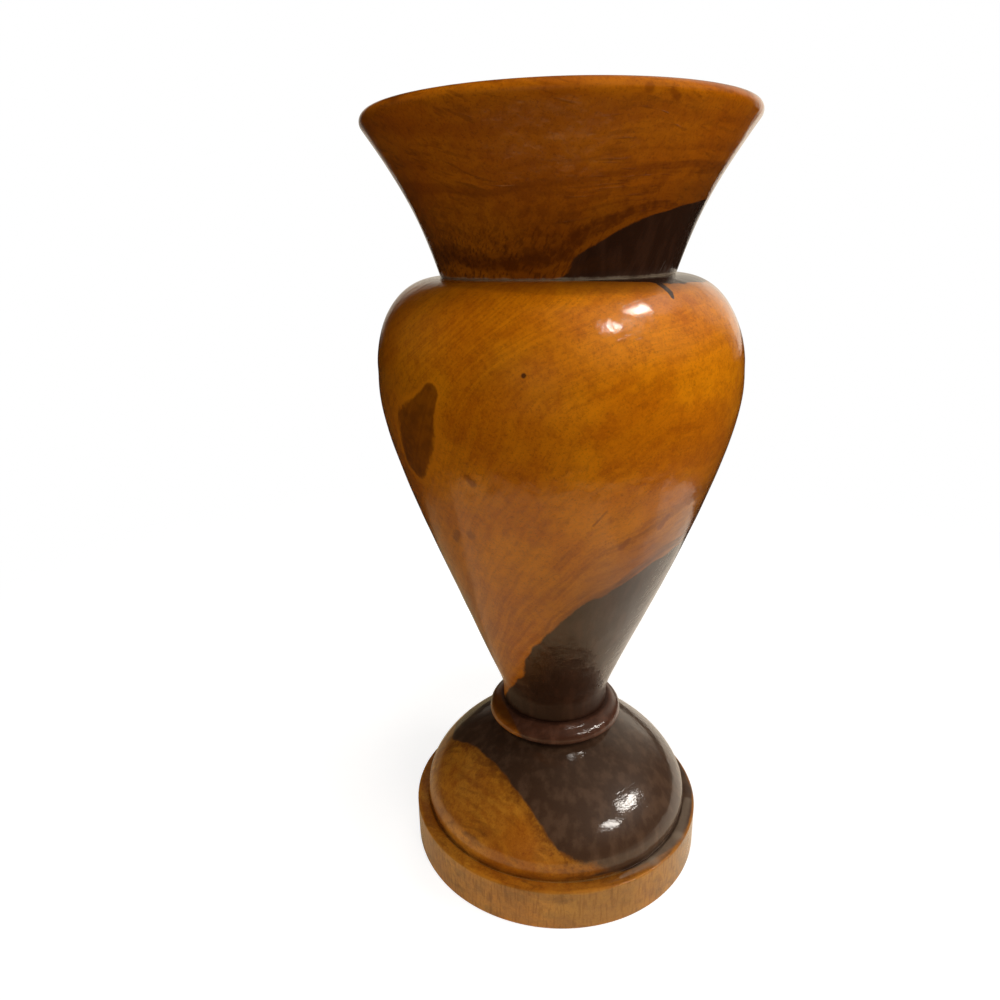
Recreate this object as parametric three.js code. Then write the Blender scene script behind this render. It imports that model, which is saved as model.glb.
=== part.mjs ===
// A turned wooden vase: a flared neck, an urn body on its stem, a collar ring and a domed foot.
// Each section is turned by itself and glued to the next with a round spigot or tenon.
// Millimetres, +Z up. The origin is the middle of the flat ring that the vase stands on.
import * as THREE from "three";

// Joints
const glueGap = 0.3; // between glued faces, and all round a spigot or tenon
const glueWell = 0.5; // left under a spigot or tenon for surplus glue
const spigotLength = 8; // the neck's, down into the body
const spigotWall = 4;
const spigotChamfer = 0.8;
const tenonRadius = 13; // the body's, through the collar and into the foot
const tenonReach = 24; // how far it goes into the foot
const tenonChamfer = 1.2;

// The belly and the mouth are turned to the same width.
const widestRadius = 63.8;

// Foot: a dome on a low plinth, with a narrow groove between them
const footHeight = 53.6; // to the seat of the collar
const collarSeatRadius = 23;
const domeCrownRun = 7.3; // how far the dome's top runs out nearly level
const domeCrownDrop = 2;
const domeSideRise = 13.2; // how far its side stays nearly upright
const domeSideLean = 0.49; // outward run for each millimetre of rise, at the groove
const plinthRadius = 59.1;
const plinthHeight = 17.2;
const plinthStep = 5.8; // width of the plinth's top, from its face to the dome
const plinthEdge = 0.9; // rounding of the upper edge
const plinthChamfer = 0.6;
const grooveWidth = 1.1; // at its top, with an outer side that slopes at 45 degrees
const grooveDepth = 0.6;
const recessRadius = 46; // hollow of the underside
const recessDepth = 1.6;
const recessSlope = 1.5;

// Collar: a ring with an ogee nose, an arris and a cove under it
const collarHeight = 9.1;
const collarRadius = 26.8;
const collarTopRadius = 22;
const arrisHeight = 3.3;
const arrisWidth = 0.4;
const noseRise = 2.8; // upright run above the arris
const noseRun = 2.6; // level run at the collar's top
const noseDrop = 0.7;

// Body: stem, straight cone, belly and shoulder, with its heights from the seat on the collar
const bodyHeight = 166.7; // to the seat of the neck
const stemRadius = 21.1;
const coneTopRadius = 41;
const coneTopHeight = 56.3;
const coneFootRadius = 21.5;
const coneFootHeight = 8.7;
const flankLead = 1.16; // how far the cone's line leads on, as a share of its way out to the widest place
const bellyHeight = 137.3;
const bellyUpright = 8; // upright run on each side of the widest place
const shoulderRun = 18.75; // level run at the shoulder's top
const bodyWall = 8;
const throatLand = 6; // thickness of the ledge under the spigot
const hollowFloor = 28.7; // lowest place of the hollow
const floorRounding = 12;

// Neck: a flare with a rounded lip, with its heights from its seat on the body
const seamRadius = 40.25; // where neck and shoulder meet
const flareHeight = 45.3;
const flareFootLean = 0.33; // outward run for each millimetre of rise, at the seat
const flareFootRise = 15.8;
const flareLipLean = 0.7; // the same at the lip
const flareLipRise = 20.6;
const lipThickness = 5.6;
const neckFootWall = 7.6; // the flare's wall thickens to this at the seat

const facets = 56; // flat sides round each turned piece
const stretchSteps = 9; // flats along each long curve

const point = (radius, height) => new THREE.Vector2(radius, height);

// Points on a round corner, from one angle to another in quarter turns.
function corner(centre, radius, fromQuarter, toQuarter, steps) {
  return Array.from({ length: steps + 1 }, (_, i) => {
    const angle = (THREE.MathUtils.lerp(fromQuarter, toQuarter, i / steps) * Math.PI) / 2;
    return point(Math.cos(angle), Math.sin(angle)).multiplyScalar(radius).add(centre);
  });
}

// The direction to the left of a curve that climbs the outside, which is into the wood.
function inward(curve, along) {
  const forward = curve.getTangent(along);
  return point(-forward.y, forward.x);
}

// The inside face behind an outside curve, with the wall thickness changing evenly along it.
function insideOf(curve, wallAtStart, wallAtEnd, steps) {
  return Array.from({ length: steps + 1 }, (_, i) => {
    const along = i / steps;
    const wall = THREE.MathUtils.lerp(wallAtStart, wallAtEnd, along);
    return curve.getPoint(along).addScaledVector(inward(curve, along), wall);
  });
}

// The neck's outside, from its seat to the place where the lip's rounding starts.
const lipBulge = (lipThickness / 2) * (1 - Math.cos(Math.atan(flareLipLean)));
const lipRadius = widestRadius - lipBulge;
const flare = new THREE.CubicBezierCurve(
  point(seamRadius, 0),
  point(seamRadius + flareFootLean * flareFootRise, flareFootRise),
  point(lipRadius - flareLipLean * flareLipRise, flareHeight - flareLipRise),
  point(lipRadius, flareHeight),
);
const flareInside = insideOf(flare, neckFootWall, lipThickness, stretchSteps);
const boreRadius = flareInside[0].x;
const spigotRadius = boreRadius + spigotWall;

// The body's outside, from the top of the stem to the seam.
const coneFoot = point(coneFootRadius, coneFootHeight);
const coneTop = point(coneTopRadius, coneTopHeight);
const coneLean = (coneTopRadius - coneFootRadius) / (coneTopHeight - coneFootHeight);
const coneLine = coneTop.clone().sub(coneFoot).normalize();
const belly = point(widestRadius, bellyHeight);
const cone = new THREE.LineCurve(coneFoot, coneTop);
const flankRun = (flankLead * (widestRadius - coneTopRadius)) / coneLine.x;
const flank = new THREE.CubicBezierCurve(
  coneTop,
  coneTop.clone().addScaledVector(coneLine, flankRun),
  point(widestRadius, bellyHeight - bellyUpright),
  belly,
);
const shoulder = new THREE.CubicBezierCurve(
  belly,
  point(widestRadius, bellyHeight + bellyUpright),
  point(seamRadius + shoulderRun, bodyHeight),
  point(seamRadius, bodyHeight),
);

function neckProfile() {
  const lipHalf = lipThickness / 2;
  const lipCentre = flare.getPoint(1).addScaledVector(inward(flare, 1), lipHalf);
  const lipTurn = -Math.atan(flareLipLean) / (Math.PI / 2);
  const outline = [
    point(boreRadius, -spigotLength),
    point(spigotRadius - spigotChamfer, -spigotLength),
    point(spigotRadius, spigotChamfer - spigotLength),
    point(spigotRadius, 0),
    ...flare.getPoints(stretchSteps),
    ...corner(lipCentre, lipHalf, lipTurn, lipTurn + 2, 6).slice(1, -1),
    ...flareInside.toReversed(),
  ];
  return [...outline, outline[0]];
}

// The hollow's rounded floor, from the axis to the place where the straight side starts.
function hollowEnd() {
  const wallAcross = bodyWall * Math.hypot(1, coneLean);
  const sideAt = (height) => coneFootRadius + coneLean * (height - coneFootHeight) - wallAcross;
  const rounding = new THREE.QuadraticBezierCurve(
    point(sideAt(hollowFloor) - floorRounding, hollowFloor),
    point(sideAt(hollowFloor), hollowFloor),
    point(sideAt(hollowFloor + floorRounding), hollowFloor + floorRounding),
  );
  return [point(0, hollowFloor), ...rounding.getPoints(4)];
}

function bodyProfile() {
  const tenonLength = glueGap + collarHeight + glueGap + tenonReach;
  const socketRadius = spigotRadius + glueGap;
  const socketFloor = bodyHeight + glueGap - spigotLength - glueWell;
  const shoulderWall = bodyHeight - socketFloor + throatLand;
  const stemLead = coneFootHeight - (coneFootRadius - stemRadius) / coneLean;
  const stem = new THREE.QuadraticBezierCurve(
    point(stemRadius, stemLead / 2),
    point(stemRadius, stemLead),
    cone.getPoint(0.1),
  );
  const inside = [
    ...hollowEnd(),
    ...insideOf(flank, bodyWall, bodyWall, stretchSteps),
    ...insideOf(shoulder, bodyWall, shoulderWall, stretchSteps).slice(1),
    point(boreRadius, socketFloor - throatLand),
  ];
  return [
    point(0, -tenonLength),
    point(tenonRadius - tenonChamfer, -tenonLength),
    point(tenonRadius, tenonChamfer - tenonLength),
    point(tenonRadius, 0),
    point(stemRadius, 0),
    ...stem.getPoints(3),
    ...flank.getPoints(stretchSteps),
    ...shoulder.getPoints(stretchSteps).slice(1),
    point(socketRadius, bodyHeight),
    point(socketRadius, socketFloor),
    point(boreRadius, socketFloor),
    ...inside.toReversed(),
  ];
}

function collarProfile() {
  const bore = tenonRadius + glueGap;
  const cove = new THREE.QuadraticBezierCurve(
    point(collarSeatRadius, 0),
    point(collarSeatRadius, arrisHeight),
    point(collarRadius, arrisHeight),
  );
  const nose = new THREE.CubicBezierCurve(
    point(collarRadius, arrisHeight + arrisWidth),
    point(collarRadius, arrisHeight + arrisWidth + noseRise),
    point(collarTopRadius + noseRun, collarHeight - noseDrop),
    point(collarTopRadius, collarHeight),
  );
  const outline = [
    point(bore, 0),
    ...cove.getPoints(4),
    ...nose.getPoints(7),
    point(bore, collarHeight),
  ];
  return [...outline, outline[0]];
}

function footProfile() {
  const mortiseRadius = tenonRadius + glueGap;
  const mortiseFloor = footHeight - tenonReach - glueWell;
  const grooveFloor = plinthHeight - grooveDepth;
  const domeRadius = plinthRadius - plinthStep;
  const dome = new THREE.CubicBezierCurve(
    point(domeRadius, plinthHeight),
    point(domeRadius + domeSideLean * domeSideRise, plinthHeight + domeSideRise),
    point(collarSeatRadius + domeCrownRun, footHeight - domeCrownDrop),
    point(collarSeatRadius, footHeight),
  );
  const edgeCentre = point(plinthRadius - plinthEdge, plinthHeight - plinthEdge);
  return [
    point(0, recessDepth),
    point(recessRadius - recessSlope, recessDepth),
    point(recessRadius, 0),
    point(plinthRadius - plinthChamfer, 0),
    point(plinthRadius, plinthChamfer),
    ...corner(edgeCentre, plinthEdge, 0, 1, 4),
    point(domeRadius + grooveWidth, plinthHeight),
    point(domeRadius + grooveWidth - grooveDepth, grooveFloor),
    point(domeRadius, grooveFloor),
    ...dome.getPoints(14),
    point(mortiseRadius, footHeight),
    point(mortiseRadius, mortiseFloor),
    point(0, mortiseFloor),
  ];
}

// A turned piece at its height, of wood with a clear gloss finish.
function turned(name, profile, height, color) {
  const geometry = new THREE.LatheGeometry(profile, facets).rotateX(Math.PI / 2);
  const wood = new THREE.MeshStandardMaterial({ color, roughness: 0.25, metalness: 0 });
  const piece = new THREE.Mesh(geometry, wood);
  piece.name = name;
  piece.position.z = height;
  return piece;
}

const collarBase = footHeight + glueGap;
const bodyBase = collarBase + collarHeight + glueGap;
const neckBase = bodyBase + bodyHeight + glueGap;

const vase = new THREE.Group();
vase.add(
  turned("foot", footProfile(), 0, 0x7d4f1e),
  turned("stem_collar", collarProfile(), collarBase, 0x3f2617),
  turned("body", bodyProfile(), bodyBase, 0x944d04),
  turned("neck", neckProfile(), neckBase, 0x653105),
);

export default vase;
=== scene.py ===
import math

import bpy
import numpy as np
from mathutils import Matrix, Quaternion, Vector, noise


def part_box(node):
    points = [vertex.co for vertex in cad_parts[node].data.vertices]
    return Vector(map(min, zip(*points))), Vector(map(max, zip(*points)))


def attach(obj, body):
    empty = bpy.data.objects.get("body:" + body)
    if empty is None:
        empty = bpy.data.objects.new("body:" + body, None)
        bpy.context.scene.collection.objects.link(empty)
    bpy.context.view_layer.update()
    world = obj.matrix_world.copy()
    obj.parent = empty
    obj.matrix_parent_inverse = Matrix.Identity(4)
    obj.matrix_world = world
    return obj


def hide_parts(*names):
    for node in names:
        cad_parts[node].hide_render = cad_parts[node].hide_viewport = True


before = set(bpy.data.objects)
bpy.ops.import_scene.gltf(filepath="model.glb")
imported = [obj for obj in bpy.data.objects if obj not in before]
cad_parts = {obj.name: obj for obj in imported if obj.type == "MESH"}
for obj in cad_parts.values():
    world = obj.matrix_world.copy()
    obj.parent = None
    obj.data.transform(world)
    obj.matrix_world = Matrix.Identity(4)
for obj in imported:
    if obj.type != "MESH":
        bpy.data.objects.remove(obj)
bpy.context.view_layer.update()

MM = 0.001  # metres in a millimetre
GLUE_GAP = 0.3
AROUND = 288  # flats round each fine mesh
OUTSIDE_STEP = 1.0  # longest piece of an outside curve
INSIDE_STEP = 3.0  # the same for what only shows through the mouth
FINE_STEP = 0.5  # the same for the collar
CORNER_STEP = 0.3  # the same for a small rounded corner
SMOOTH_ANGLE = math.radians(28)  # edges sharper than this stay crisp
ON_AXIS = 1e-6  # a radius below this is the axis


def extent(node):
    """A node's greatest radius, lowest height and highest height in millimetres."""
    low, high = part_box(node)
    return high.x / MM, low.z / MM, high.z / MM


PLINTH_RADIUS, _, FOOT_TOP = extent("foot")
COLLAR_RADIUS, COLLAR_BASE, COLLAR_TOP = extent("stem_collar")
WIDEST_RADIUS, TENON_END, BODY_TOP = extent("body")
MOUTH_RADIUS, SPIGOT_END, _ = extent("neck")
BODY_BASE = COLLAR_TOP + GLUE_GAP
NECK_BASE = BODY_TOP + GLUE_GAP

# Foot
COLLAR_SEAT_RADIUS = 23.0
DOME_RADIUS = 53.3
DOME_SIDE_RUN = 6.5  # from the groove outwards, along the line in which the dome's side starts
DOME_SIDE_RISE = 13.2
DOME_CROWN_RUN = 7.3  # the same from the collar's seat, for the dome's top
DOME_CROWN_DROP = 2.0
PLINTH_HEIGHT = 17.2
PLINTH_EDGE = 0.9
PLINTH_CHAMFER = 0.6
EDGE_MARGIN = 0.4  # between a rounded edge and the next ring of the mesh
GROOVE_WIDTH = 1.1
GROOVE_DEPTH = 0.6
RECESS_RADIUS = 46.0
RECESS_DEPTH = 1.6
RECESS_SLOPE = 1.5
# Collar
COLLAR_TOP_RADIUS = 22.0
ARRIS_HEIGHT = 3.3
ARRIS_ROUNDING = [(-0.15, 0.0), (0.0, 0.12), (0.0, 0.28), (-0.04, 0.5)]  # run and rise from the sharp arris
NOSE_RISE = 3.2
NOSE_RUN = 2.6
NOSE_DROP = 0.7
# Joints
TENON_RADIUS = 13.0
TENON_CHAMFER = 1.2
SPIGOT_WALL = 4.0
SPIGOT_CHAMFER = 0.8
THROAT_LAND = 6.0  # thickness of the ledge under the spigot
GLUE_WELL = 0.5
# Body, with its heights from the seat on the collar
STEM_RADIUS = 21.1
CONE_FOOT = (21.5, 8.7)
CONE_FOOT_SHARE = 0.1  # of the cone, taken up by the stem's lead into it
CONE_TOP = (41.0, 56.3)
FLANK_LEAD = 69.8  # how far the cone's line leads on into the flank
FLANK_SWELL = 0.17  # how far the flank swells past the belly's radius, just under it
BELLY_HEIGHT = 137.3
BELLY_UPRIGHT = 8.0
SHOULDER_RUN = 18.75
SEAM_RADIUS = 40.25  # where neck and shoulder meet
SEAM_EASE = 0.35  # width of the eased edge beside the socket
BODY_WALL = 8.0
HOLLOW_FLOOR = 28.7
FLOOR_ROUNDING = 12.0
FLOOR_RADIUS = 20.6  # of the hollow's side, where it would meet the floor
FLOOR_SIDE_RADIUS = 25.5  # and where its rounding ends
# Neck, with its heights from its seat on the body
FLARE_HEIGHT = 45.3
FLARE_FOOT_LEAN = 0.33  # outward run for each millimetre of rise, at the seat
FLARE_FOOT_RISE = 15.8
FLARE_LIP_LEAN = 0.7  # the same at the lip
FLARE_LIP_RISE = 20.6
LIP_THICKNESS = 5.6
NECK_FOOT_WALL = 7.6
# Unevenness of the turned surface
SLOW_WANDER = 0.16
QUICK_WANDER = 0.07
FULL_WANDER_RADIUS = 20.0  # inside this it fades towards the axis
BOW = 0.8  # how far the body bows to the right
BOW_HEIGHTS = [78, 90, 118, 130, 185, 198, 218, 228]
BOW_SHARES = [0, 0.1, 0.9, 1, 1, 0.9, 0.1, 0]


def curve(*controls, step=OUTSIDE_STEP):
    """Points along a Bezier curve, close enough together for a smooth mesh."""
    controls = np.array(controls, float)
    length = np.linalg.norm(np.diff(controls, axis=0), axis=1).sum()
    along = np.linspace(0, 1, max(4, math.ceil(length / step) + 1))[:, None]
    points = [np.repeat(c[None], len(along), axis=0) for c in controls]
    while len(points) > 1:
        points = [a + (b - a) * along for a, b in zip(points, points[1:])]
    return points[0]


def tangents(points):
    """Unit directions along a row of points."""
    ahead = np.gradient(points, axis=0)
    return ahead / np.linalg.norm(ahead, axis=1)[:, None]


def behind(points, wall_at_start, wall_at_end):
    """The inside face behind an outside row of points that climbs, with wider steps."""
    ahead = tangents(points)
    wall = np.linspace(wall_at_start, wall_at_end, len(points))[:, None]
    inside = points + np.stack([-ahead[:, 1], ahead[:, 0]], axis=1) * wall
    return inside[:: round(INSIDE_STEP / OUTSIDE_STEP)]


def rounded(centre, radius, start_degrees, end_degrees, steps):
    """Points on a round corner."""
    angles = np.radians(np.linspace(start_degrees, end_degrees, steps + 1))
    return np.array(centre) + radius * np.stack([np.cos(angles), np.sin(angles)], axis=1)


def outline(*parts):
    """Joins single points and rows of points into one outline."""
    return np.concatenate([np.atleast_2d(np.array(part, float)) for part in parts])


def foot_outline():
    mortise_radius = TENON_RADIUS + GLUE_GAP
    mortise_floor = TENON_END - GLUE_WELL
    edge_centre = (PLINTH_RADIUS - PLINTH_EDGE, PLINTH_HEIGHT - PLINTH_EDGE)
    groove_floor = PLINTH_HEIGHT - GROOVE_DEPTH
    groove_outside = DOME_RADIUS + GROOVE_WIDTH
    ease = 0.15  # of the groove's inner corner
    edge_run, edge_drop = 0.6, 0.1  # the worn outer edge of the groove
    return outline(
        (0, RECESS_DEPTH),
        (RECESS_RADIUS - RECESS_SLOPE, RECESS_DEPTH),
        (RECESS_RADIUS, 0),
        (PLINTH_RADIUS - PLINTH_CHAMFER - EDGE_MARGIN / 2, 0),
        curve(
            (PLINTH_RADIUS - PLINTH_CHAMFER, 0),
            (PLINTH_RADIUS, 0),
            (PLINTH_RADIUS, PLINTH_CHAMFER),
            step=CORNER_STEP,
        ),
        curve(
            (PLINTH_RADIUS, PLINTH_CHAMFER + EDGE_MARGIN),
            (PLINTH_RADIUS, edge_centre[1] - EDGE_MARGIN),
        ),
        rounded(edge_centre, PLINTH_EDGE, 0, 90, 6),
        (groove_outside + edge_run, PLINTH_HEIGHT),
        (groove_outside, PLINTH_HEIGHT - edge_drop),
        (groove_outside - GROOVE_DEPTH, groove_floor),
        (DOME_RADIUS + ease, groove_floor),
        (DOME_RADIUS, groove_floor + ease),
        curve(
            (DOME_RADIUS, PLINTH_HEIGHT),
            (DOME_RADIUS + DOME_SIDE_RUN, PLINTH_HEIGHT + DOME_SIDE_RISE),
            (COLLAR_SEAT_RADIUS + DOME_CROWN_RUN, FOOT_TOP - DOME_CROWN_DROP),
            (COLLAR_SEAT_RADIUS, FOOT_TOP),
        ),
        (mortise_radius, FOOT_TOP),
        (mortise_radius, mortise_floor),
        (0, mortise_floor),
    )


def collar_outline():
    bore = TENON_RADIUS + GLUE_GAP
    arris = COLLAR_BASE + ARRIS_HEIGHT
    cove_end, *edge, nose_start = [(COLLAR_RADIUS + run, arris + rise) for run, rise in ARRIS_ROUNDING]
    return outline(
        (bore, COLLAR_BASE),
        curve(
            (COLLAR_SEAT_RADIUS, COLLAR_BASE),
            (COLLAR_SEAT_RADIUS, arris),
            cove_end,
            step=FINE_STEP,
        ),
        edge,
        curve(
            nose_start,
            (COLLAR_RADIUS, arris + NOSE_RISE),
            (COLLAR_TOP_RADIUS + NOSE_RUN, COLLAR_TOP - NOSE_DROP),
            (COLLAR_TOP_RADIUS, COLLAR_TOP),
            step=FINE_STEP,
        ),
        (bore, COLLAR_TOP),
    )


def body_curves():
    """The outside of the body: the stem's lead into the cone, the cone, the flank and the shoulder."""
    cone_foot = np.array(CONE_FOOT) + (0, BODY_BASE)
    cone_top = np.array(CONE_TOP) + (0, BODY_BASE)
    line = (cone_top - cone_foot) / np.linalg.norm(cone_top - cone_foot)
    lead = cone_foot[1] - (CONE_FOOT[0] - STEM_RADIUS) * line[1] / line[0]
    stem = curve(
        (STEM_RADIUS, (lead + BODY_BASE) / 2),
        (STEM_RADIUS, lead),
        cone_foot + (cone_top - cone_foot) * CONE_FOOT_SHARE,
    )
    cone = curve(stem[-1], cone_top)[1:-1]
    belly = (WIDEST_RADIUS - FLANK_SWELL, BODY_BASE + BELLY_HEIGHT)
    flank = curve(
        cone_top,
        cone_top + line * FLANK_LEAD,
        (belly[0], belly[1] - BELLY_UPRIGHT),
        belly,
    )
    shoulder = curve(
        belly,
        (belly[0], belly[1] + BELLY_UPRIGHT),
        (SEAM_RADIUS + SHOULDER_RUN, BODY_TOP),
        (SEAM_RADIUS, BODY_TOP),
    )
    return stem, cone, flank, shoulder[1:]


def neck_curves():
    """The outside of the neck, the lip's rounding and the inside of the flare."""
    lean = math.atan(FLARE_LIP_LEAN)
    lip_half = LIP_THICKNESS / 2
    lip_radius = MOUTH_RADIUS - lip_half * (1 - math.cos(lean))
    lip_base = NECK_BASE + FLARE_HEIGHT
    flare = curve(
        (SEAM_RADIUS, NECK_BASE),
        (SEAM_RADIUS + FLARE_FOOT_LEAN * FLARE_FOOT_RISE, NECK_BASE + FLARE_FOOT_RISE),
        (lip_radius - FLARE_LIP_LEAN * FLARE_LIP_RISE, lip_base - FLARE_LIP_RISE),
        (lip_radius, lip_base),
    )
    ahead = tangents(flare)[-1]
    lip_centre = flare[-1] + np.array([-ahead[1], ahead[0]]) * lip_half
    turn = -math.degrees(lean)
    lip = rounded(lip_centre, lip_half, turn, turn + 180, 14)[1:-1]
    return flare, lip, behind(flare, NECK_FOOT_WALL, LIP_THICKNESS)


def neck_outline():
    flare, lip, inside = neck_curves()
    bore = inside[0][0]
    spigot = bore + SPIGOT_WALL
    return outline(
        (bore, SPIGOT_END),
        (spigot - SPIGOT_CHAMFER, SPIGOT_END),
        (spigot, SPIGOT_END + SPIGOT_CHAMFER),
        (spigot, NECK_BASE),
        flare,
        lip,
        inside[::-1],
    )


def body_outline():
    stem, cone, flank, shoulder = body_curves()
    bore = neck_curves()[2][0][0]
    socket_radius = bore + SPIGOT_WALL + GLUE_GAP
    socket_floor = SPIGOT_END - GLUE_WELL
    socket_top = BODY_TOP + GLUE_GAP * 0.9
    throat_end = socket_floor - THROAT_LAND
    hollow_floor = BODY_BASE + HOLLOW_FLOOR
    inside = outline(
        (0, hollow_floor),
        curve(
            (FLOOR_RADIUS - FLOOR_ROUNDING, hollow_floor),
            (FLOOR_RADIUS, hollow_floor),
            (FLOOR_SIDE_RADIUS, hollow_floor + FLOOR_ROUNDING),
            step=INSIDE_STEP,
        ),
        behind(flank, BODY_WALL, BODY_WALL),
        behind(shoulder, BODY_WALL, BODY_TOP - throat_end),
        (bore, throat_end),
    )
    return outline(
        (0, TENON_END),
        (TENON_RADIUS - TENON_CHAMFER, TENON_END),
        (TENON_RADIUS, TENON_END + TENON_CHAMFER),
        (TENON_RADIUS, BODY_BASE),
        (STEM_RADIUS, BODY_BASE),
        stem,
        cone,
        flank,
        shoulder,
        (SEAM_RADIUS - SEAM_EASE, socket_top),
        (socket_radius, socket_top),
        (socket_radius, socket_floor),
        (bore, socket_floor),
        inside[::-1],
    )


def hand_wander(azimuth, height):
    """How far the turner's hand and the drying wood moved the surface out at a place."""
    ring = Vector((math.sin(azimuth), -math.cos(azimuth), 0))
    slow = noise.noise(ring * 0.9 + Vector((7.0, 3.0, height / 55)))
    quick = noise.noise(ring * 3.2 + Vector((1.0, 9.0, height / 9)))
    return SLOW_WANDER * slow + QUICK_WANDER * quick


def hand_lean(height):
    """How far the body bows to the right at a height, between its lower cone and its shoulder."""
    return BOW * float(np.interp(height, BOW_HEIGHTS, BOW_SHARES))


def turned(name, node, points, material):
    """A closed turned mesh from an outline of (radius, height) points, in place of a CAD node."""
    angles = np.arange(AROUND) / AROUND * 2 * math.pi
    vertices, faces, rings = [], [], []
    for radius, height in points:
        first = len(vertices)
        if radius < ON_AXIS:
            rings.append([first] * AROUND)
            vertices.append((0, 0, height * MM))
            continue
        rings.append(list(range(first, first + AROUND)))
        for angle in angles:
            out = radius + hand_wander(angle, height) * min(1, radius / FULL_WANDER_RADIUS)
            across = out * math.sin(angle) + hand_lean(height)
            vertices.append((across * MM, -out * math.cos(angle) * MM, height * MM))
    if points[0][0] > ON_AXIS:
        rings.append(rings[0])
    for low, high in zip(rings, rings[1:]):
        for i in range(AROUND):
            j = (i + 1) % AROUND
            face = [low[i], low[j], high[j], high[i]]
            faces.append([v for k, v in enumerate(face) if v != face[k - 1]])
    mesh = bpy.data.meshes.new(name)
    mesh.from_pydata(vertices, [], faces)
    mesh.shade_smooth()
    mesh.set_sharp_from_angle(angle=SMOOTH_ANGLE)
    mesh.materials.append(material)
    piece = bpy.data.objects.new(name, mesh)
    bpy.context.scene.collection.objects.link(piece)
    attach(piece, "root")
    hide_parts(node)
    return piece


class Field:
    """A number that shader nodes work out at every point of a surface, with the usual arithmetic."""

    def __init__(self, graph, socket):
        self.graph = graph
        self.socket = socket

    def __add__(self, other):
        return self.graph.math("ADD", self, other)

    def __sub__(self, other):
        return self.graph.math("SUBTRACT", self, other)

    def __rsub__(self, other):
        return self.graph.math("SUBTRACT", other, self)

    def __mul__(self, other):
        return self.graph.math("MULTIPLY", self, other)

    def __truediv__(self, other):
        return self.graph.math("DIVIDE", self, other)

    __radd__ = __add__
    __rmul__ = __mul__

    def power(self, exponent):
        return self.graph.math("POWER", self, exponent)

    def step(self, start, end):
        """0 before start, 1 after end and smooth between; end may be the lower."""
        node = self.graph.node("ShaderNodeMapRange", interpolation_type="SMOOTHSTEP")
        flip = start > end
        self.graph.put(node.inputs["Value"], self)
        node.inputs["From Min"].default_value = end if flip else start
        node.inputs["From Max"].default_value = start if flip else end
        node.inputs["To Min"].default_value = float(flip)
        node.inputs["To Max"].default_value = float(not flip)
        return Field(self.graph, node.outputs["Result"])


class Graph:
    """Adds nodes to one node tree and joins them."""

    def __init__(self, tree):
        self.tree = tree
        tree.nodes.clear()

    def node(self, kind, **settings):
        node = self.tree.nodes.new(kind)
        for name, value in settings.items():
            setattr(node, name, value)
        return node

    def put(self, socket, value):
        """Joins a value to a socket, or sets the socket where the value is a plain one."""
        if isinstance(value, Field):
            value = value.socket
        if isinstance(value, bpy.types.NodeSocket):
            self.tree.links.new(value, socket)
        else:
            socket.default_value = value

    def math(self, operation, *values):
        node = self.node("ShaderNodeMath", operation=operation)
        for socket, value in zip(node.inputs, values):
            self.put(socket, value)
        return Field(self, node.outputs[0])

    def vector(self, operation, *values, scale=None):
        node = self.node("ShaderNodeVectorMath", operation=operation)
        for socket, value in zip(node.inputs, values):
            self.put(socket, value)
        if scale is not None:
            node.inputs["Scale"].default_value = scale
        number = operation in ("DISTANCE", "DOT_PRODUCT")
        return Field(self, node.outputs["Value"]) if number else node.outputs["Vector"]

    def join(self, x, y, z):
        node = self.node("ShaderNodeCombineXYZ")
        for socket, value in zip(node.inputs, (x, y, z)):
            self.put(socket, value)
        return node.outputs[0]

    def split(self, vector):
        node = self.node("ShaderNodeSeparateXYZ")
        self.put(node.inputs[0], vector)
        return [Field(self, socket) for socket in node.outputs]

    def grain(self, place, size, detail, roughness=0.5):
        """Smooth noise around a half, with lumps of about the given size."""
        node = self.node("ShaderNodeTexNoise")
        self.put(node.inputs["Vector"], place)
        node.inputs["Scale"].default_value = 1 / size
        node.inputs["Detail"].default_value = detail
        node.inputs["Roughness"].default_value = roughness
        return Field(self, node.outputs["Fac"])

    def mix(self, share, first, second, blend="MIX"):
        """A colour between two others."""
        node = self.node("ShaderNodeMix", data_type="RGBA", blend_type=blend)
        self.put(node.inputs["Factor"], share)
        for socket, colour in zip(node.inputs[6:8], (first, second)):
            self.put(socket, (*colour, 1) if isinstance(colour, tuple) else colour)
        return node.outputs[2]


# Wood colours, as linear red, green and blue
GOLD = (0.76, 0.240, 0.004)
ORANGE = (0.62, 0.166, 0.002)
RUSSET = (0.38, 0.080, 0.001)
SMOKE = (0.130, 0.030, 0.001)
HEART = (0.029, 0.0100, 0.0046)
HEART_LIGHT = (0.046, 0.0170, 0.0082)
KNOT = (0.330, 0.092, 0.001)
BLACK = (0.012, 0.005, 0.003)
# Pale residue, also used as painted sheen and painted reflection
DUST_AND_SHEEN = (0.32, 0.25, 0.18)
# Painted pale sheen
PALE_SHEEN = (0.72, 0.60, 0.05)


def bearing(g, place, turn_degrees):
    """The sine of a place's azimuth, counted from a turn away from the front."""
    x, y, _ = g.split(place)
    turn = math.radians(turn_degrees)
    return (x * math.cos(turn) + y * math.sin(turn)) / (x * x + y * y + 1.0).power(0.5)


def from_line(x, y, centre_x, centre_y):
    """The distance from a place to an upright line."""
    return ((x - centre_x).power(2) + (y - centre_y).power(2)).power(0.5)


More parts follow.
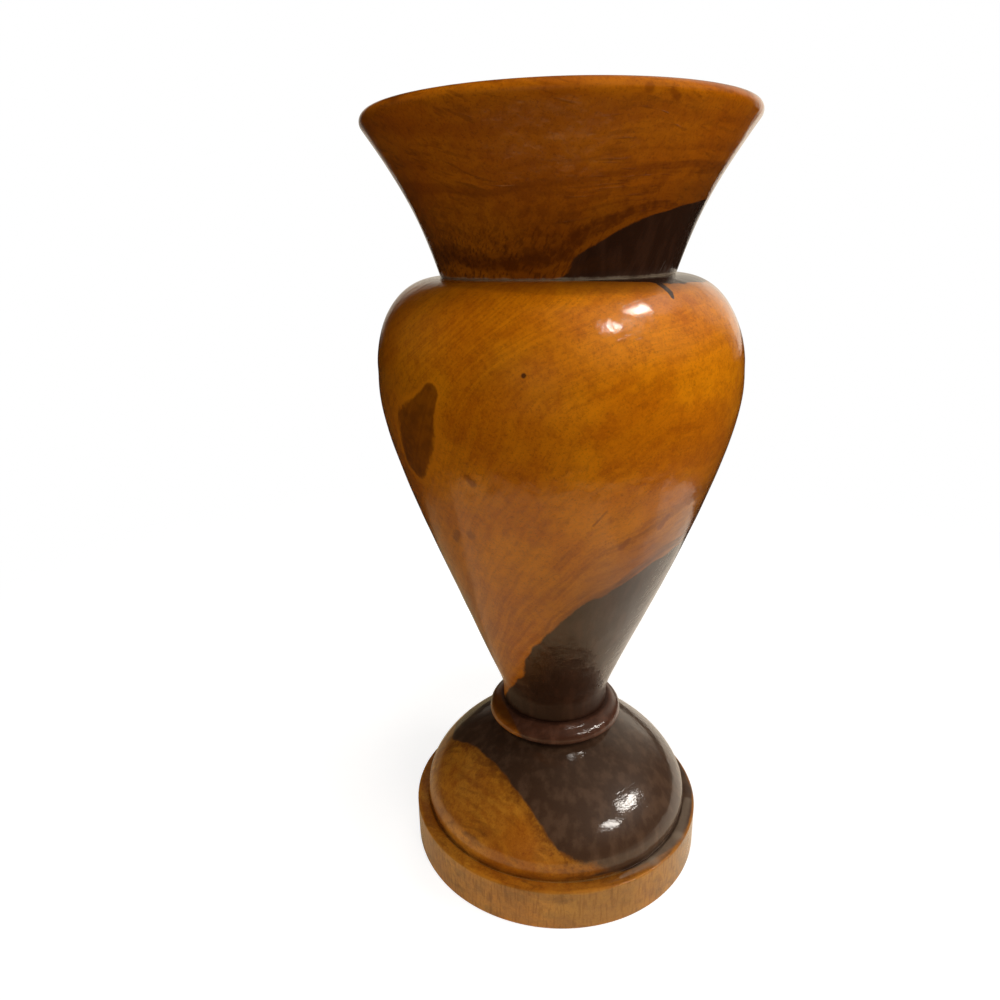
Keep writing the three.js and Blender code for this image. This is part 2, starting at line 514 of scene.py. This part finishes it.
def trunk_depth(g, place):
    """How far outside the heartwood of the upper log a place is. The log stands a little to the right."""
    x, y, z = g.split(place)
    # The heartwood widens up the cone and round the stem's foot, and narrows at the shoulder and in the neck.
    radius = 28.5 + 13.5 * z.step(62, 138) + 2.7 * z.step(70, 57) - 0.8 * z.step(190, 226)
    radius = radius - 1.0 * z.step(246, 253) - 1.2 * z.step(237, 231) * z.step(229.5, 230.5)
    sway = (g.grain(place, 14, 1) - 0.5) * (2.6 - 1.8 * z.step(215, 232))
    return from_line(x, y, 9.0, -1.0) - radius + sway


def foot_depth(g, place):
    """The same for the foot's own log, whose heartwood has a flat side at the front left."""
    x, y, z = g.split(place)
    round_side = from_line(x, y, 8.0, 0.0) - 52.5
    round_side = round_side + 1.8 * (z - PLINTH_HEIGHT).step(1.8, -0.2)
    flat_side = (x * -0.774 + y * -0.633) - 33.9 - 0.12 * (z - 40) - 6.0 * y.step(-12, 14)
    sway = (g.grain(place, 12, 2) - 0.5) * 3.0
    return g.math("SMOOTH_MAX", round_side, flat_side, 6.0) + sway


# The flow functions all take the same values, so that wood() can use any of them. So do the stain functions.


def body_flow(g, place, depth):
    """A number that stays the same along the body's grain lines, which fan out above the heartwood's edge."""
    z = g.split(place)[2]
    side = bearing(g, place, -6)
    rise = 38 * (1.41 * side - 0.41 * side.power(3)) - 7
    return (z - 112 - rise) / (1 + rise / 80) + z.step(196, 234) * 70


def neck_flow(g, place, depth):
    """The same on the neck, where the lines run nearly level and climb over the heartwood at the right."""
    z = g.split(place)[2]
    climb = bearing(g, place, 12).step(-0.5, 0.65) * 28
    return z - 222 - climb * (1 - 0.75 * z.step(235, 275))


def foot_flow(g, place, depth):
    """The same on the foot, where the lines run beside the heartwood's edge."""
    return depth


def at(azimuth, height, radius):
    """A place on the outside: azimuth in degrees from the front towards the right."""
    angle = math.radians(azimuth)
    return Vector((radius * math.sin(angle), -radius * math.cos(angle), height))


def chain(g, place, stations):
    """How far out a place is in a row of tapered lengths, 1 on the ragged edge.

    A station is a centre and a radius.
    """
    reach = None
    for (start, start_radius), (end, end_radius) in zip(stations, stations[1:]):
        axis = end - start
        offset = g.vector("SUBTRACT", place, tuple(start))
        share = g.vector("DOT_PRODUCT", offset, tuple(axis / axis.length_squared))
        share = g.math("MINIMUM", g.math("MAXIMUM", share, 0.0), 1.0)
        nearest = g.vector("MULTIPLY", g.join(share, share, share), tuple(axis))
        radius = share * (end_radius - start_radius) + start_radius
        one = g.vector("DISTANCE", offset, nearest) / radius
        reach = one if reach is None else g.math("MINIMUM", reach, one)
    size = max(radius for _, radius in stations)
    return reach + (g.grain(place, size * 0.55, 3, 0.6) - 0.5) * 0.4


def ring_reach(g, place, radius, height):
    """The distance from a place to a level ring round the axis."""
    x, y, z = g.split(place)
    across = (x * x + y * y).power(0.5) - radius
    return (across * across + (z - height).power(2)).power(0.5)


def pale_wood(g, figure, blotch, streak, thread):
    """The pale wood's colour: gold, orange and russet patches, and dark bands and threads on the grain."""
    even = 0.5 - 0.5 * blotch
    sap = g.mix(figure["clouds"].step(0.38, 0.62) * blotch + even, ORANGE, GOLD)
    sap = g.mix(figure["mottle"].step(0.42, 0.66) * (0.42 * blotch), sap, RUSSET)
    sap = g.mix(figure["bands"].step(0.45, 0.66) * (0.6 * streak), sap, RUSSET)
    threads = figure["lines"].step(0.46, 0.68) * figure["patches"].step(0.36, 0.60)
    sap = g.mix(threads * thread, sap, SMOKE)
    sap = g.mix(figure["fine"].step(0.48, 0.74) * 0.42, sap, SMOKE)
    return g.mix(figure["fine"].step(0.46, 0.26) * 0.45, sap, GOLD)


def dark_wood(g, place, figure, rise, tone):
    """The heartwood's colour, with a figure that is drawn out upwards where its rise is small."""
    x, y, z = g.split(place)
    upright = g.grain(g.join(x, y, z * rise), 4.0, 3)
    heart = g.mix(upright.step(0.42, 0.68), HEART, HEART_LIGHT)
    heart = g.mix(figure["fine"].step(0.5, 0.75) * 0.4, heart, BLACK)
    return g.mix(1.0, heart, tone, "MULTIPLY")


def add_marks(g, place, figure, marks, colour, heart):
    """Knots, pale residue with painted sheen, stray heartwood, stains and worm holes, and how deep the holes
    are.
    """
    mottle, fine, bands = figure["mottle"], figure["fine"], figure["bands"]
    sunk = 0.0
    for kind, stations in marks:
        reach = chain(g, place, stations)
        if kind == "knot":
            reach = reach + (mottle - 0.5) * 0.5 + (fine - 0.5) * 0.25
            rim = reach.step(1.55, 1.25) * reach.step(0.95, 1.15)
            colour = g.mix(rim * 0.55, colour, GOLD)
            share = mottle.step(0.38, 0.62) * 0.4 + bands.step(0.4, 0.6) * 0.2
            colour = g.mix(reach.step(1.18, 0.88), colour, g.mix(share, KNOT, SMOKE))
        elif kind == "dust_and_sheen":
            colour = g.mix(reach.step(1.3, 0.3) * 0.36, colour, DUST_AND_SHEEN)
        elif kind == "heart":
            colour = g.mix(reach.step(1.15, 0.85), colour, heart)
        elif kind == "stain":
            colour = g.mix(reach.step(1.35, 0.5) * 0.6, colour, g.mix(0.4, SMOKE, RUSSET))
        else:
            colour = g.mix(reach.step(1.4, 0.6) * 0.85, colour, BLACK)
            sunk = sunk + reach.step(1.2, 0.6)
    return colour, sunk


def wood(
    name,
    depth_of,  # how far outside the heartwood a place is
    flow_of,  # a number that stays the same along the grain
    stain_of,  # the brown parts of the pale wood
    tone,  # tint of the pale wood
    swirl=1.0,  # how much the grain lines wander
    blotch=1.0,  # how strong the soft patches are
    streak=1.0,  # the same for the broad bands
    thread=0.4,  # the same for the thin lines
    fleck=1.0,  # the same for the short dashes
    strokes=(0.0, 0.0, 0.0, 0.0),  # pores: slant, heights where they are full and where they end, strength
    heart_rise=0.12,  # how quickly the heartwood's figure changes upwards
    heart_tone=(1.0, 1.0, 1.0),  # tint of the heartwood
    edge_width=0.3,  # blur of the heartwood's edge
    marks=(),  # kinds and chains
    dirt_and_shade=(),  # dark residue and painted shade in creases: the rings' radius, height and width
    dust_and_sheen=(),  # pale residue and painted sheen, in the same way
    wear=(),  # rubbed edges, in the same way
    dull=(),  # where the gloss coat is missing, in the same way
    gloss=0.05,  # roughness of the coat
    ripple=1.0,  # how uneven the coat is
):
    """Polished wood: figured pale wood round dark heartwood, flecks, pores and marks, under a clear coat."""
    material = bpy.data.materials.new(name)
    material.use_nodes = True
    g = Graph(material.node_tree)
    coordinates = g.node("ShaderNodeTexCoord").outputs["Object"]
    place = g.vector("SCALE", coordinates, scale=1 / MM)
    x, y, z = g.split(place)
    depth = depth_of(g, place)
    wander = (g.grain(place, 30, 1) - 0.5) * 22 + (g.grain(place, 8, 1) - 0.5)
    flow = flow_of(g, place, depth) + wander * swirl

    def along(drift, size, detail):
        """Noise that is drawn out along the grain: the smaller the drift, the longer its streaks."""
        drawn = g.vector("ADD", g.vector("SCALE", place, scale=drift), g.join(flow, 0, 0))
        return g.grain(drawn, size, detail)

    figure = {
        "bands": along(0.10, 5.5, 3),
        "lines": along(0.30, 1.8, 2),
        "clouds": g.grain(place, 24, 2),
        "patches": g.grain(place, 13, 2),
        "mottle": g.grain(place, 3.4, 3, 0.65),
        "fine": g.grain(place, 0.8, 3, 0.75),
    }
    patches, mottle, fine = figure["patches"], figure["mottle"], figure["fine"]
    sap = pale_wood(g, figure, blotch, streak, thread)
    sap = stain_of(g, sap, place, depth, flow, figure)
    specks = along(0.34, 1.3, 1).step(0.58, 0.68) * patches.step(0.42, 0.58) * fleck
    slant, full_height, end_height, stroke_strength = strokes
    vessels = g.grain(g.join(x - z * slant, y, z * 0.13), 0.9, 1)
    pores = vessels.step(0.48, 0.70) * z.step(end_height, full_height) * stroke_strength
    sap = g.mix(specks * 0.6, sap, SMOKE)
    sap = g.mix(pores, sap, SMOKE)
    sap = g.mix(1.0, sap, tone, "MULTIPLY")

    heart = dark_wood(g, place, figure, heart_rise, heart_tone)
    edge = depth + ((fine - 0.5) * 2 + (mottle - 0.5) * 2) * edge_width
    colour = g.mix(edge.step(edge_width, -edge_width), sap, heart)
    colour, holes = add_marks(g, place, figure, marks, colour, heart)
    sunk = specks * 0.6 + pores + holes
    # Rings of dark residue with painted shade in the creases, and of pale residue with painted sheen.
    for coloured_rings, ring_colour, strength in ((dirt_and_shade, BLACK, 0.5), (dust_and_sheen, DUST_AND_SHEEN, 0.7)):
        for radius, height, width in coloured_rings:
            reach = ring_reach(g, place, radius, height) + (mottle - 0.5) * width * 1.5
            colour = g.mix(reach.step(width, width * 0.2) * strength, colour, ring_colour)
    rubbed = 0.0
    for radius, height, width in wear:
        reach = ring_reach(g, place, radius, height) + (patches - 0.5) * width * 4
        worn = reach.step(width, 0)
        colour = g.mix(worn * 0.3, colour, g.mix(1.0, GOLD, tone, "MULTIPLY"))
        rubbed = rubbed + worn
    unpolished = 0.0
    for radius, height, width in dull:
        unpolished = unpolished + ring_reach(g, place, radius, height).step(width, width * 0.3)

    relief = g.node("ShaderNodeBump")
    relief.inputs["Strength"].default_value = 0.5
    relief.inputs["Distance"].default_value = 0.1 * MM
    g.put(relief.inputs["Height"], (fine - 0.5) * 0.5 + mottle * 0.4 - sunk)
    skin = g.node("ShaderNodeBump")
    skin.inputs["Strength"].default_value = 0.8
    skin.inputs["Distance"].default_value = 0.34 * ripple * MM
    waves = g.grain(place, 6.0, 1) * 0.7 + mottle * 0.45
    g.put(skin.inputs["Height"], waves + fine * 0.10 - sunk * 0.2)

    shader = g.node("ShaderNodeBsdfPrincipled")
    g.put(shader.inputs["Base Color"], colour)
    g.put(shader.inputs["Roughness"], 0.45 + (figure["clouds"] - 0.5) * 0.3 + rubbed * 0.15)
    g.put(shader.inputs["Normal"], relief.outputs["Normal"])
    g.put(shader.inputs["Coat Normal"], skin.outputs["Normal"])
    g.put(shader.inputs["Coat Weight"], 1 - unpolished * 0.9 - rubbed * 0.4)
    shader.inputs["Specular IOR Level"].default_value = 0.15
    shader.inputs["Coat Roughness"].default_value = gloss
    shader.inputs["Coat IOR"].default_value = 1.5
    output = g.node("ShaderNodeOutputMaterial")
    g.put(output.inputs["Surface"], shader.outputs["BSDF"])
    return material


def neck_stain(g, sap, place, depth, flow, figure):
    """Brown smoky wood low on the neck and beside its heartwood, in streaks that thin out upwards."""
    streaks = 0.30 + figure["bands"].step(0.36, 0.62) * 0.40 + figure["mottle"].step(0.42, 0.62) * 0.22
    smoke = streaks * flow.step(44, 12)
    return g.mix(g.math("MAXIMUM", smoke, depth.step(9, 1) * 0.62), sap, SMOKE)


def body_stain(g, sap, place, depth, flow, figure):
    """Brown wood beside the heartwood and at the stem, darker on the upper left and in a cloud on the
    shoulder's front, and a painted shadow of the neck's flare in a ring round the neck's foot.
    """
    bands, lines = figure["bands"], figure["lines"]
    z = g.split(place)[2]
    side = bearing(g, place, 0)
    below_belly = z.step(196, 166)
    near = depth.step(16, 0) * z.step(74, 100) * below_belly * (0.42 + side.step(-0.3, 0.5) * 0.73)
    streaks = 0.5 + bands.step(0.42, 0.58) * 0.24 + lines.step(0.48, 0.64) * 0.14
    sap = g.mix(near * streaks, sap, SMOKE)
    sap = g.mix(bands.step(0.50, 0.34) * 0.2, sap, GOLD)
    sap = g.mix(depth.step(8, 0) * side.step(-0.3, 0.3) * below_belly * 0.26, sap, SMOKE)
    upper_left = side.step(-0.35, -0.75) * z.step(186, 204)
    sap = g.mix(upper_left * 0.16, sap, SMOKE)
    sap = g.mix(z.step(100, 76) * 0.3, sap, SMOKE)
    cloud = g.vector("DISTANCE", place, tuple(at(-11, 215, 60))).step(24, 4)
    sap = g.mix(cloud * (0.12 + bands.step(0.4, 0.6) * 0.08), sap, SMOKE)
    # Painted shadow of the neck's flare on the shoulder: darkest next to the neck's foot, reaching further
    # out towards the right and fading out at the far right.
    reach = ring_reach(g, place, SEAM_RADIUS, BODY_TOP) - 3.6 * side.step(-0.7, 0.1)
    reach = reach + (figure["mottle"] - 0.5) * 2.5
    ring = reach.step(9.4, 7.6) * 0.34 + reach.step(9.0, 0.0) * 0.28
    return g.mix(ring * side.step(0.86, 0.62), sap, SMOKE)


def collar_stain(g, sap, place, depth, flow, figure):
    """Dark wood on the upper part of the collar."""
    return g.mix(g.split(place)[2].step(58.5, 61.5) * 0.8, sap, SMOKE)


def foot_stain(g, sap, place, depth, flow, figure):
    """Brown wood beside the heartwood, a darker plinth top and a darker plinth at the front and the back, and
    a painted pale sheen on the plinth's side.
    """
    above = g.split(place)[2] - PLINTH_HEIGHT
    sap = g.mix(depth.step(5, 0.3) * (0.35 + figure["mottle"].step(0.42, 0.62) * 0.3), sap, SMOKE)
    top_face = above.step(0.4, 0.0) * above.step(-1.0, -0.4)
    sap = g.mix(top_face * 0.2, sap, SMOKE)
    front = bearing(g, place, 16).power(2).step(0.13, 0.02) * above.step(0.8, -1.2)
    sap = g.mix(front * 0.28, sap, SMOKE)
    # Painted pale sheen on the plinth's side.
    return g.mix(above.step(-0.2, -0.8) * 0.12, sap, PALE_SHEEN)


def spot(azimuth, height, radius, size):
    """A round mark: a short chain of one size."""
    centre = at(azimuth, height, radius)
    return [(centre, size), (centre + Vector((0.1, 0, 0.1)), size)]


BODY_MARKS = [
    ("knot", [(at(-50.0, 174.5, 60.8), 6.3), (at(-45.5, 184.0, 62.8), 9.2), (at(-36.5, 198.5, 63.9), 3.2)]),
    ("hole", spot(-8.3, 205.7, 63.5, 0.7)),
    ("stain", [(at(-27.0, 173.0, 60.6), 1.3), (at(-25.4, 171.0, 59.9), 1.6)]),
    ("hole", [(at(-26.8, 170.2, 59.8), 0.35), (at(-24.2, 170.0, 59.7), 0.4)]),
    ("stain", [(at(-40.5, 147.0, 52.0), 1.8), (at(-38.0, 150.0, 52.8), 1.5)]),
    ("stain", spot(-31.7, 150.5, 52.9, 2.0)),
    ("stain", [(at(38.0, 153.6, 54.3), 1.5), (at(40.0, 157.4, 55.4), 1.0)]),
    ("stain", [(at(23.6, 148.2, 52.3), 1.4), (at(25.6, 151.0, 53.1), 0.9)]),
    ("stain", [(at(12.0, 158.0, 55.5), 0.5), (at(15.6, 163.0, 57.0), 0.6)]),
    ("heart", [(at(30.0, 229.6, 42.5), 1.5), (at(40.0, 229.0, 45.0), 3.6), (at(52.0, 228.6, 46.0), 3.4)]),
    ("heart", [(at(52.0, 228.6, 46.0), 3.4), (at(66.0, 228.4, 47.5), 1.4)]),
    ("heart", [(at(39.0, 228.0, 48.5), 1.3), (at(39.4, 226.2, 52.2), 1.1), (at(38.8, 224.8, 53.9), 0.6)]),
    # A pale line along the seam at the right: partly residue in the joint, partly painted sheen where the
    # light falls.
    ("dust_and_sheen", [(at(12.0, 230.6, 41.0), 1.5), (at(32.0, 230.4, 42.0), 2.2), (at(60.0, 230.4, 42.8), 2.6)]),
]
NECK_MARKS = [
    ("stain", [(at(27.0, 276.6, 63.5), 0.8), (at(29.0, 275.4, 63.0), 1.1)]),
    ("stain", spot(21.0, 277.0, 63.6, 1.4)),
    ("stain", [(at(-75.0, 279.2, 62.0), 1.8), (at(-45.0, 279.2, 62.0), 2.4)]),
    ("stain", [(at(-45.0, 279.2, 62.0), 2.4), (at(-14.0, 279.2, 62.0), 1.5)]),
]
LEDGE_RADIUS = 56.4  # middle of the plinth's top
# A painted pale reflection on the plinth's top at the right, made of marks.
FOOT_MARKS = [
    ("dust_and_sheen", [(at(azimuth, PLINTH_HEIGHT, LEDGE_RADIUS), size) for azimuth, size in ends])
    for ends in ([(26.0, 0.7), (42.0, 2.6)], [(42.0, 2.6), (60.0, 2.6)], [(60.0, 2.6), (82.0, 1.8)])
]
# Rings round the vase, as radius and height
SEAM = (SEAM_RADIUS + 0.3, BODY_TOP + 0.1)
STEM_FOOT = (STEM_RADIUS + 0.3, COLLAR_TOP + 0.2)
ARRIS = (COLLAR_RADIUS, COLLAR_BASE + 3.6)
COLLAR_FOOT = (COLLAR_SEAT_RADIUS, FOOT_TOP + 0.2)
GROOVE = (DOME_RADIUS + 0.6, PLINTH_HEIGHT - 0.3)

materials = {
    "foot_wood": wood(
        "foot_wood",
        foot_depth,
        foot_flow,
        tone=(0.77, 0.98, 5.0),
        stain_of=foot_stain,
        swirl=0.35,
        blotch=1.3,
        streak=0.9,
        thread=0.4,
        fleck=0.45,
        marks=FOOT_MARKS,
        strokes=(0.0, 16.0, 19.0, 0.3),
        heart_rise=0.4,
        # lighter and greyer heartwood, partly painted sheen
        heart_tone=(1.9, 2.75, 3.3),
        edge_width=0.5,
        gloss=0.075,
        ripple=0.6,
        dirt_and_shade=[(*COLLAR_FOOT, 1.6)],
        dull=[(*GROOVE, 1.5)],
        wear=[(PLINTH_RADIUS, PLINTH_HEIGHT, 1.1), (PLINTH_RADIUS, 0, 1.2)],
    ),
    "collar_wood": wood(
        "collar_wood",
        trunk_depth,
        body_flow,
        tone=(0.55, 0.60, 2.0),
        stain_of=collar_stain,
        heart_tone=(2.5, 2.7, 3.2),
        dirt_and_shade=[(*STEM_FOOT, 1.4), (*COLLAR_FOOT, 1.6)],
        dull=[(*STEM_FOOT, 3.0), (*ARRIS, 1.0)],
    ),
    "body_wood": wood(
        "body_wood",
        trunk_depth,
        body_flow,
        tone=(1.02, 1.04, 0.3),
        stain_of=body_stain,
        marks=BODY_MARKS,
        blotch=0.9,
        streak=0.4,
        thread=0.08,
        fleck=0.25,
        edge_width=0.16,
        dirt_and_shade=[(*STEM_FOOT, 1.4)],
        dust_and_sheen=[(*SEAM, 1.3)],
        dull=[(*STEM_FOOT, 14.0)],
    ),
    "neck_wood": wood(
        "neck_wood",
        trunk_depth,
        neck_flow,
        tone=(0.785, 0.72, 0.7),
        stain_of=neck_stain,
        marks=NECK_MARKS,
        swirl=0.5,
        blotch=0.6,
        streak=0.6,
        thread=0.25,
        fleck=0.5,
        strokes=(0.5, 234.0, 254.0, 0.75),
        edge_width=0.16,
        dust_and_sheen=[(*SEAM, 0.9)],
    ),
}
turned("foot_turned", "foot", foot_outline(), materials["foot_wood"])
turned("stem_collar_turned", "stem_collar", collar_outline(), materials["collar_wood"])
turned("body_turned", "body", body_outline(), materials["body_wood"])
turned("neck_turned", "neck", neck_outline(), materials["neck_wood"])


def light_path(g, name):
    return Field(g, g.node("ShaderNodeLightPath").outputs[name])


def oval(x, y, centre, half_sizes):
    """How far out a place on the floor is in an oval, 1 on its edge."""
    across = (x - centre[0]) / half_sizes[0]
    deep = (y - centre[1]) / half_sizes[1]
    return (across.power(2) + deep.power(2)).power(0.5)


def table_in_gloss(g, place):
    """The floor's colour for all but the camera: a pale oval mat, cut straight at the back, with the vase's
    shadow painted at its left, a painted shadow at its front right, and painted light that makes it paler
    towards the right.
    """
    x, y, _ = g.split(place)
    ragged = (g.grain(place, 30, 2) - 0.5) * 0.14
    round_side = oval(x, y, (0, 40), (265, 240)) + ragged
    # Past this straight line at the left lies the vase's shadow, painted on the mat.
    vase_shadow_edge = (y - 0.807 * x) + ragged * 60
    back_side = (y + 1.2 * x) + ragged * 60
    mat = round_side.step(1.02, 0.98) * vase_shadow_edge.step(150, 138) * back_side.step(455, 439)
    # A painted shadow on the mat at the front right.
    painted_shadow_place = oval(x, y, (168, -122), (70, 105)).step(1.1, 0.7)
    # Painted light: the mat is warm at the left and paler towards the right.
    mat_colour_painted_light = g.mix((x + y * 0.6).step(-60, 150), (0.88, 0.66, 0.40), (0.94, 0.86, 0.76))
    # Inside the painted shadow of the vase, near it, the mat is dimmer; further off the floor is dark.
    in_vase_shadow = vase_shadow_edge.step(138, 150) * round_side.step(1.04, 0.86)
    beyond = g.mix(in_vase_shadow, (0.02, 0.016, 0.012), (0.34, 0.27, 0.16))
    return g.mix(mat * (1 - painted_shadow_place * 0.6), beyond, mat_colour_painted_light)


def pale_floor():
    """The floor: white to the camera apart from the vase's shadow, and a pale mat to everything else."""
    half_side = 3000 * MM
    below_foot = -0.2 * MM
    corners = [(x * half_side, y * half_side, below_foot) for x, y in ((-1, -1), (1, -1), (1, 1), (-1, 1))]
    mesh = bpy.data.meshes.new("floor")
    mesh.from_pydata(corners, [], [(0, 1, 2, 3)])
    floor = bpy.data.objects.new("floor", mesh)
    bpy.context.scene.collection.objects.link(floor)
    material = bpy.data.materials.new("floor_pale")
    material.use_nodes = True
    g = Graph(material.node_tree)
    place = g.vector("SCALE", g.node("ShaderNodeTexCoord").outputs["Object"], scale=1 / MM)
    seen_by_rays = g.node("ShaderNodeBsdfDiffuse")
    g.put(seen_by_rays.inputs["Color"], table_in_gloss(g, place))
    x, y, _ = g.split(place)
    near = from_line(x, y, 0.0, 0.0).step(520, 160)
    matte = g.node("ShaderNodeBsdfDiffuse")
    g.put(matte.inputs["Color"], g.mix(near, (0, 0, 0), (0.4, 0.4, 0.4)))
    glow = g.node("ShaderNodeEmission")
    g.put(glow.inputs["Strength"], 1 - near * 0.2)
    seen_by_camera = g.node("ShaderNodeAddShader")
    g.put(seen_by_camera.inputs[0], matte.outputs[0])
    g.put(seen_by_camera.inputs[1], glow.outputs[0])
    choose = g.node("ShaderNodeMixShader")
    g.put(choose.inputs[0], light_path(g, "Is Camera Ray"))
    g.put(choose.inputs[1], seen_by_rays.outputs[0])
    g.put(choose.inputs[2], seen_by_camera.outputs[0])
    output = g.node("ShaderNodeOutputMaterial")
    g.put(output.inputs["Surface"], choose.outputs[0])
    mesh.materials.append(material)


def heading(azimuth, elevation):
    """The unit vector towards a direction, with the azimuth from the front towards the right."""
    a, e = math.radians(azimuth), math.radians(elevation)
    return Vector((math.sin(a) * math.cos(e), -math.cos(a) * math.cos(e), math.sin(e)))


def room():
    """White behind the vase for the camera, a soft even light for matte wood, and a dim room in its gloss."""
    world = bpy.data.worlds.new("room")
    world.use_nodes = True
    bpy.context.scene.world = world
    g = Graph(world.node_tree)
    direction = g.node("ShaderNodeTexCoord").outputs["Generated"]
    up = g.split(direction)[2]

    def patch(azimuth, elevation, edge, core):
        """A soft round patch of light in a direction, between the cosines of its edge and its full part."""
        return g.vector("DOT_PRODUCT", direction, tuple(heading(azimuth, elevation))).step(edge, core)

    high_right = patch(88, 42, 0.3, 1.0) * up.step(0.18, 0.45)
    straight_back = patch(171, 8, 0.72, 0.94) * up.step(0.45, 0.25)
    back_right = patch(142, 30, 0.85, 1.0) * 0.45 + patch(153, 3, 0.97, 1.0)
    glow = high_right * 0.2 + back_right + straight_back * 0.6
    in_gloss = g.mix(glow, (0.0, 0.0, 0.0), (1.0, 0.88, 0.72))
    on_matte = (0.06, 0.056, 0.05)
    off_camera = g.mix(light_path(g, "Is Glossy Ray"), on_matte, in_gloss)
    colour = g.mix(light_path(g, "Is Camera Ray"), off_camera, (1.0, 1.0, 1.0))
    background = g.node("ShaderNodeBackground")
    g.put(background.inputs["Color"], colour)
    output = g.node("ShaderNodeOutputWorld")
    g.put(output.inputs["Surface"], background.outputs[0])


def lamp(name, target, azimuth, elevation, distance, size, watts, gloss=False, tilt=0.0):
    """An oval soft light that faces a target from a direction, for matte wood or else for its gloss alone."""
    light = bpy.data.lights.new(name, "AREA")
    light.shape = "ELLIPSE"
    light.size, light.size_y = (length * MM for length in size)
    light.energy = watts
    light.color = (1.0, 0.95, 0.88)
    holder = bpy.data.objects.new(name, light)
    away = heading(azimuth, elevation)
    holder.location = (target + away * distance) * MM
    holder.rotation_mode = "QUATERNION"
    holder.rotation_quaternion = away.to_track_quat("Z", "Y") @ Quaternion((0, 0, 1), math.radians(tilt))
    holder.visible_glossy = gloss
    holder.visible_diffuse = not gloss
    holder.visible_camera = False
    bpy.context.scene.collection.objects.link(holder)
    return holder


def gloss_lamp(name, pieces, spot_place, azimuth, elevation, size, watts, tilt=0.0):
    """A light that only the gloss of the given pieces shows, set up to be seen at a spot on them."""
    holder = lamp(name, spot_place, azimuth, elevation, 1000, size, watts, gloss=True, tilt=tilt)
    group = bpy.data.collections.new(name + "_receivers")
    for piece in pieces:
        group.objects.link(bpy.data.objects[piece])
    holder.light_linking.receiver_collection = group


pale_floor()
room()
MIDDLE = Vector((0, 0, 150))
lamp("key", MIDDLE, 75, 22, 1300, (600, 600), 8.6)
lamp("overhead", MIDDLE, 20, 77, 1300, (300, 300), 6.4)
lamp("front_right_fill", MIDDLE, 27, 28, 1500, (700, 700), 2.6)
lamp("front_fill", MIDDLE, -12, 8, 1500, (900, 900), 4.2)
lamp("right_fill", MIDDLE, 106, 22, 1400, (600, 600), 2.2)
lamp("left_fill", MIDDLE, -95, 22, 1500, (900, 900), 1.6)
lamp("back_fill", MIDDLE, 180, 35, 1500, (900, 900), 5.0)
BODY_ONLY = ["body_turned"]
FOOT_AND_COLLAR = ["foot_turned", "stem_collar_turned"]
gloss_lamp("window_high_1", BODY_ONLY, at(24.4, 223.0, 55.5), 87.8, 55.8, (200, 130), 2.6)
gloss_lamp("window_high_2", BODY_ONLY, at(16.3, 218.4, 58.8), 47.5, 47.5, (160, 110), 1.7)
gloss_lamp("halo_high_1", BODY_ONLY, at(26.0, 221.0, 56.5), 110.0, 52.0, (600, 400), 0.4)
gloss_lamp("halo_high_2", BODY_ONLY, at(20.0, 220.0, 57.0), 66.0, 48.0, (380, 280), 0.32)
gloss_lamp("window_low_1", FOOT_AND_COLLAR, at(39.8, 38.9, 43.9), 80.1, 30.7, (430, 60), 2.1, tilt=-26)
gloss_lamp("window_low_2", FOOT_AND_COLLAR, at(26.0, 35.1, 47.4), 52.8, 30.8, (300, 60), 1.3, tilt=-16)

# The camera stands where the ellipses of the vase's rings put it.
CAMERA_PLACE = Vector((0.0, -274.77, 242.16))
CAMERA_YAW = math.radians(-4.4244)  # to the left, which puts the vase right of the middle
CAMERA_PITCH = math.radians(18.960)  # down
CAMERA_ROLL = math.radians(1.1669)
LENS = 27.436
camera_data = bpy.data.cameras.new("camera")
camera_data.sensor_width = 36.0
camera_data.lens = LENS
camera_data.clip_start = 0.01
camera = bpy.data.objects.new("camera", camera_data)
forward = Vector(
    (
        math.sin(CAMERA_YAW) * math.cos(CAMERA_PITCH),
        math.cos(CAMERA_YAW) * math.cos(CAMERA_PITCH),
        -math.sin(CAMERA_PITCH),
    )
)
level = Vector((math.cos(CAMERA_YAW), -math.sin(CAMERA_YAW), 0))
right = level * math.cos(CAMERA_ROLL) + forward.cross(level) * math.sin(CAMERA_ROLL)
upward = right.cross(forward)
facing = Matrix((right, upward, -forward)).transposed()
camera.matrix_world = Matrix.Translation(CAMERA_PLACE * MM) @ facing.to_4x4()
bpy.context.scene.collection.objects.link(camera)
bpy.context.scene.camera = camera
bpy.context.scene.view_settings.view_transform = "Standard"
